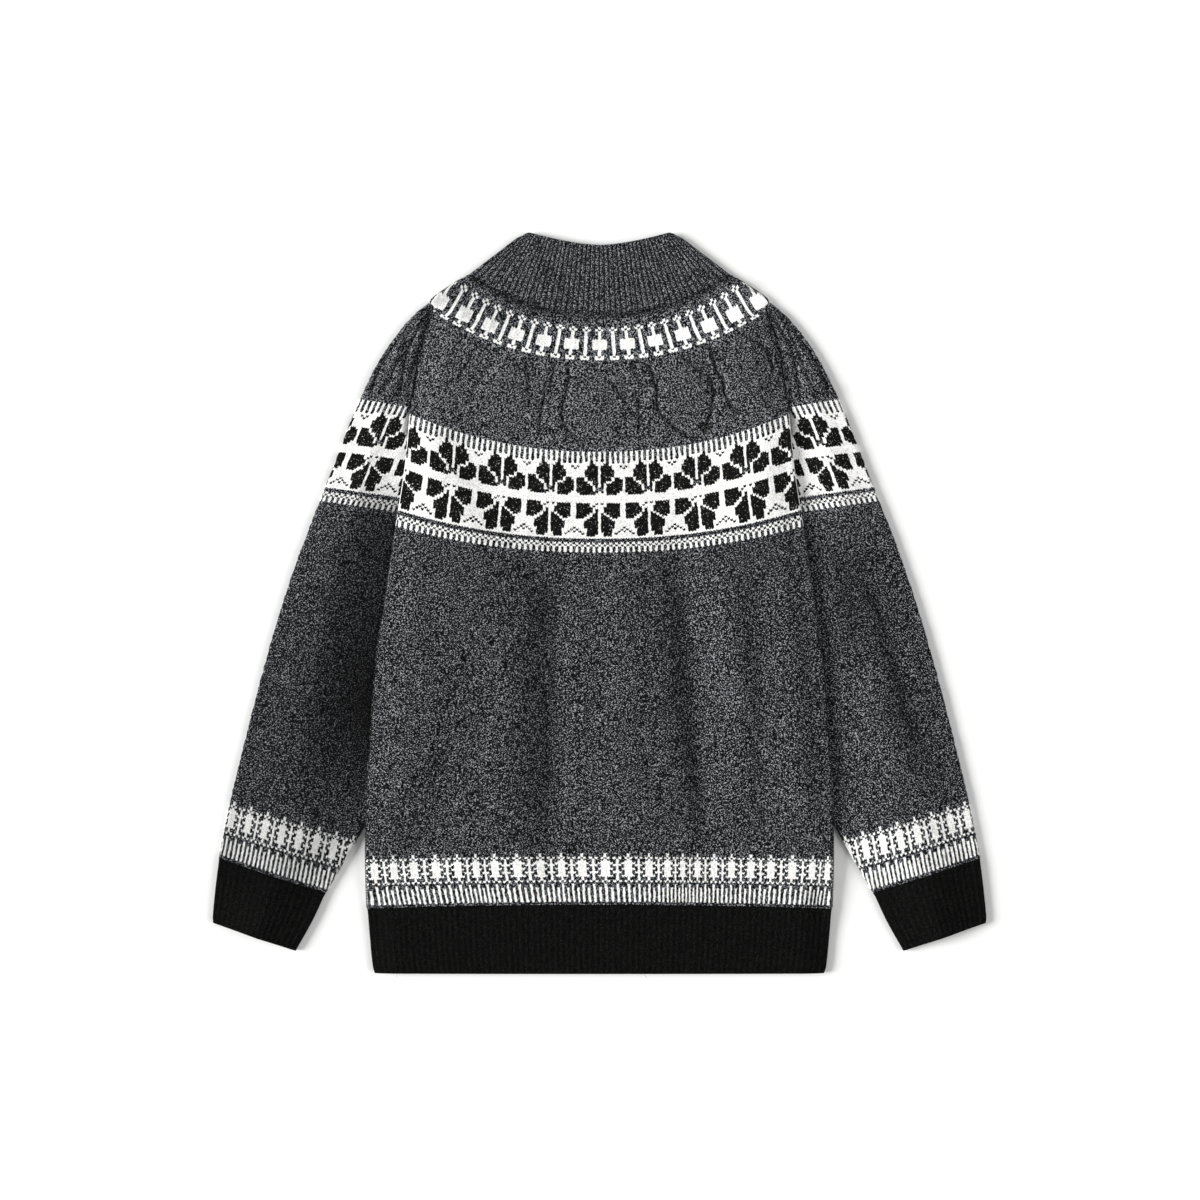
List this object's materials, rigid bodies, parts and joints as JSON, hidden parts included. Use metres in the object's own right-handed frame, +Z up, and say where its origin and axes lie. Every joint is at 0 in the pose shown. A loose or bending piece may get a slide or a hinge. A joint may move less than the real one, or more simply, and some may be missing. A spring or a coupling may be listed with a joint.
{
  "type": "nordic yoke sweater",
  "caption": "Flat-laid knitted pullover, back side up, with patterned yoke, ribbed stand collar, long sleeves, ribbed cuffs and hem.",
  "frame": {"origin": "on the surface that the sweater lies on, under the middle of its outline", "axes": "+Z up from the surface, out of the sweater's back; +Y from the hem to the collar; +X towards the wearer's right sleeve"},
  "size_m": [0.775, 0.7426, 0.015],
  "materials": {
    "grey_knit": "charcoal melange wool jersey with knitted bands in white and black",
    "grey_rib": "charcoal melange wool rib",
    "black_rib": "black wool rib"
  },
  "bodies": {
    "root": {"back": "grey_knit", "front": "grey_knit", "collar": "grey_rib", "hem_rib_back": "black_rib", "hem_rib_front": "black_rib", "sleeve_left": "grey_knit", "sleeve_right": "grey_knit", "cuff_left": "black_rib", "cuff_right": "black_rib"}
  },
  "joints": []
}
